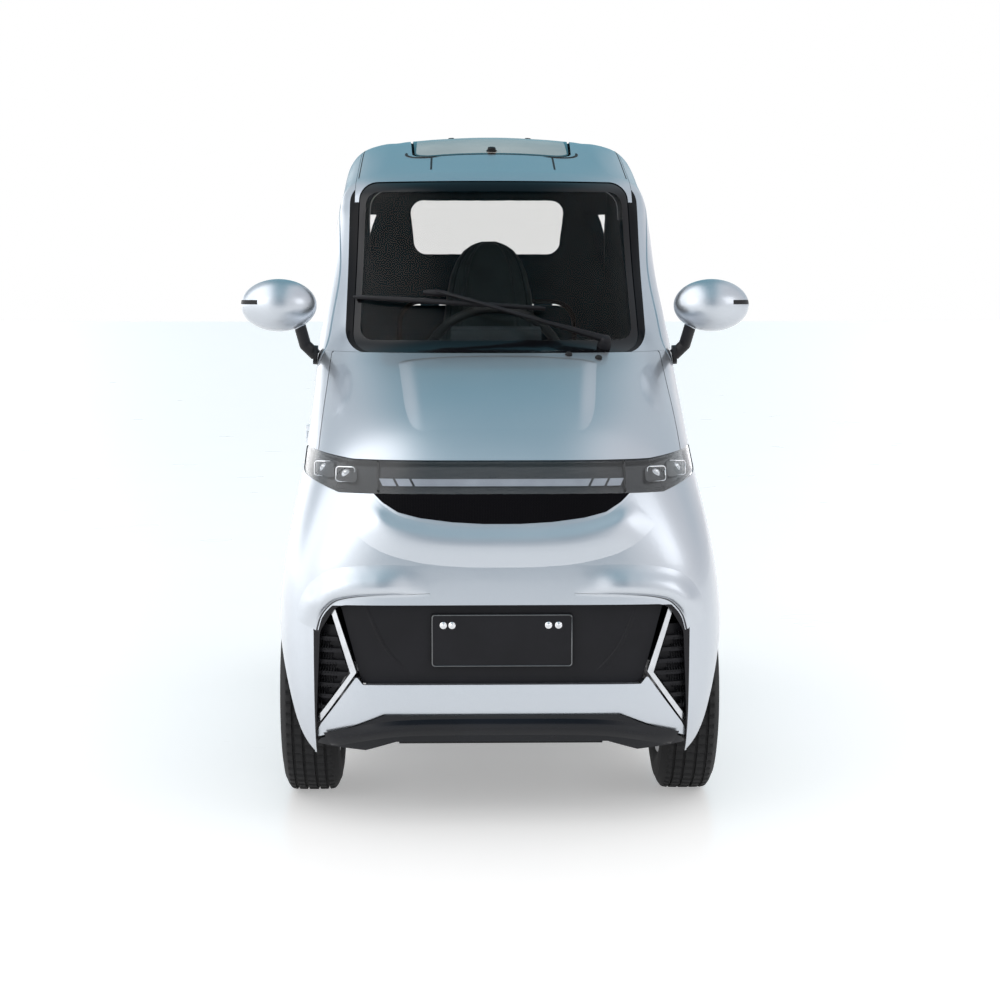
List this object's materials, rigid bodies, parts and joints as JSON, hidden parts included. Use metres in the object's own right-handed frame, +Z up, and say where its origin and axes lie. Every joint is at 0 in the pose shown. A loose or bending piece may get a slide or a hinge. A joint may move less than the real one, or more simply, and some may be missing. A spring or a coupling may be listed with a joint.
{
  "type": "one-seat electric cabin microcar",
  "caption": "Short enclosed cabin microcar with a full-width lamp bar, hinged doors, a roof hatch, a rear lid, steered front wheels and a single central seat.",
  "frame": {"origin": "on the ground under the middle of the car", "axes": "+Z up; the nose points along -Y; +X is on the right of someone who looks at the nose from the front"},
  "size_m": [1.2666, 2.2496, 1.6118],
  "materials": {
    "paint": "metallic clear coat",
    "black_gloss": "polished",
    "black_matte": "grained",
    "clear": "clear",
    "lamp_clear": "smoked clear",
    "light_white": "opal",
    "lamp_red": "red lens",
    "bright": "satin bright",
    "tyre": "moulded",
    "alloy": "painted alloy",
    "frame_black": "powder coat",
    "steel": "machined",
    "trim": "soft grained",
    "carpet": "moulded mat",
    "upholstery": "woven cover"
  },
  "bodies": {
    "body_shell": {"battery_pack": "frame_black", "bonnet": "paint", "bumper_blades": "bright", "cab_frame": "paint", "chassis_frame": "frame_black", "chin_panel": "paint", "dashboard": "trim", "floor_pan": "carpet", "front_liner_left": "black_matte", "front_liner_right": "black_matte", "front_shell": "paint", "front_suspension": "frame_black", "grille": "black_matte", "lamp_housing": "black_gloss", "lamp_lens": "lamp_clear", "light_units": "light_white", "nose_panel": "black_gloss", "rear_axle": "frame_black", "rear_bumper": "black_matte", "rear_glass": "clear", "rear_liner_left": "black_matte", "rear_liner_right": "black_matte", "rear_shell": "paint", "roof_panel": "paint", "seat_back": "upholstery", "seat_cushion": "upholstery", "sills": "black_matte", "splitter": "black_matte", "tail_lamps": "lamp_red", "windscreen": "clear", "wiper": "black_matte"},
    "boot": {"boot_lid": "paint"},
    "door_left": {"door_glass_left": "clear", "door_left": "paint", "mirror_left": "paint"},
    "door_right": {"door_glass_right": "clear", "door_right": "paint", "mirror_right": "paint"},
    "steer_left": {"knuckle_left": "steel"},
    "steer_right": {"knuckle_right": "steel"},
    "track_rod": {"rack_rod": "steel"},
    "wheel_front_left": {"rim_front_left": "alloy", "tyre_front_left": "tyre"},
    "wheel_front_right": {"rim_front_right": "alloy", "tyre_front_right": "tyre"},
    "wheel_rear_left": {"rim_rear_left": "alloy", "tyre_rear_left": "tyre"},
    "wheel_rear_right": {"rim_rear_right": "alloy", "tyre_rear_right": "tyre"},
    "hatch": {"roof_hatch": "clear"},
    "steering_wheel": {"steering_wheel": "black_matte"}
  },
  "joints": [
    {"name": "steer_left", "type": "hinge", "parent": "body_shell", "child": "steer_left", "pos_m": [-0.375, -0.72, 0.247], "axis": [0.2079, 0, 0.9781], "range_deg": [-28, 28]},
    {"name": "steer_right", "type": "hinge", "parent": "body_shell", "child": "steer_right", "pos_m": [0.375, -0.72, 0.247], "axis": [-0.2079, 0, 0.9781], "range_deg": [-28, 28]},
    {"name": "steering_wheel_turn", "type": "hinge", "parent": "body_shell", "child": "steering_wheel", "pos_m": [0, -0.15, 0.985], "axis": [0, 0.848, 0.5299], "range_deg": [-336, 336]},
    {"name": "track_rod_slide", "type": "slide", "parent": "body_shell", "child": "track_rod", "axis": [1, 0, 0], "range_m": [-0.055, 0.055]},
    {"name": "wheel_front_left_spin", "type": "hinge", "parent": "steer_left", "child": "wheel_front_left", "pos_m": [-0.437, -0.72, 0.247], "axis": [1, 0, 0], "continuous": true},
    {"name": "wheel_front_right_spin", "type": "hinge", "parent": "steer_right", "child": "wheel_front_right", "pos_m": [0.437, -0.72, 0.247], "axis": [1, 0, 0], "continuous": true},
    {"name": "wheel_rear_left_spin", "type": "hinge", "parent": "body_shell", "child": "wheel_rear_left", "pos_m": [-0.437, 0.78, 0.247], "axis": [1, 0, 0], "continuous": true},
    {"name": "wheel_rear_right_spin", "type": "hinge", "parent": "body_shell", "child": "wheel_rear_right", "pos_m": [0.437, 0.78, 0.247], "axis": [1, 0, 0], "continuous": true},
    {"name": "door_left_open", "type": "hinge", "parent": "body_shell", "child": "door_left", "pos_m": [-0.486, -0.4035, 0.46], "axis": [0.0523, 0, 0.9986], "range_deg": [0, 65]},
    {"name": "door_right_open", "type": "hinge", "parent": "body_shell", "child": "door_right", "pos_m": [0.486, -0.4035, 0.46], "axis": [0.0523, 0, -0.9986], "range_deg": [0, 65]},
    {"name": "hatch_open", "type": "hinge", "parent": "body_shell", "child": "hatch", "pos_m": [0, 0.4835, 1.60246], "axis": [-1, 0, 0], "range_deg": [0, 25]},
    {"name": "boot_open", "type": "hinge", "parent": "body_shell", "child": "boot", "pos_m": [0, 1.03428, 1.1335], "axis": [1, 0, 0], "range_deg": [0, 70]}
  ],
  "couplings": [
    {"joint": "steer_right", "follows": "steer_left", "ratio": 1},
    {"joint": "steering_wheel_turn", "follows": "steer_left", "ratio": 12},
    {"joint": "track_rod_slide", "follows": "steer_left", "m_per_rad": -0.11}
  ]
}
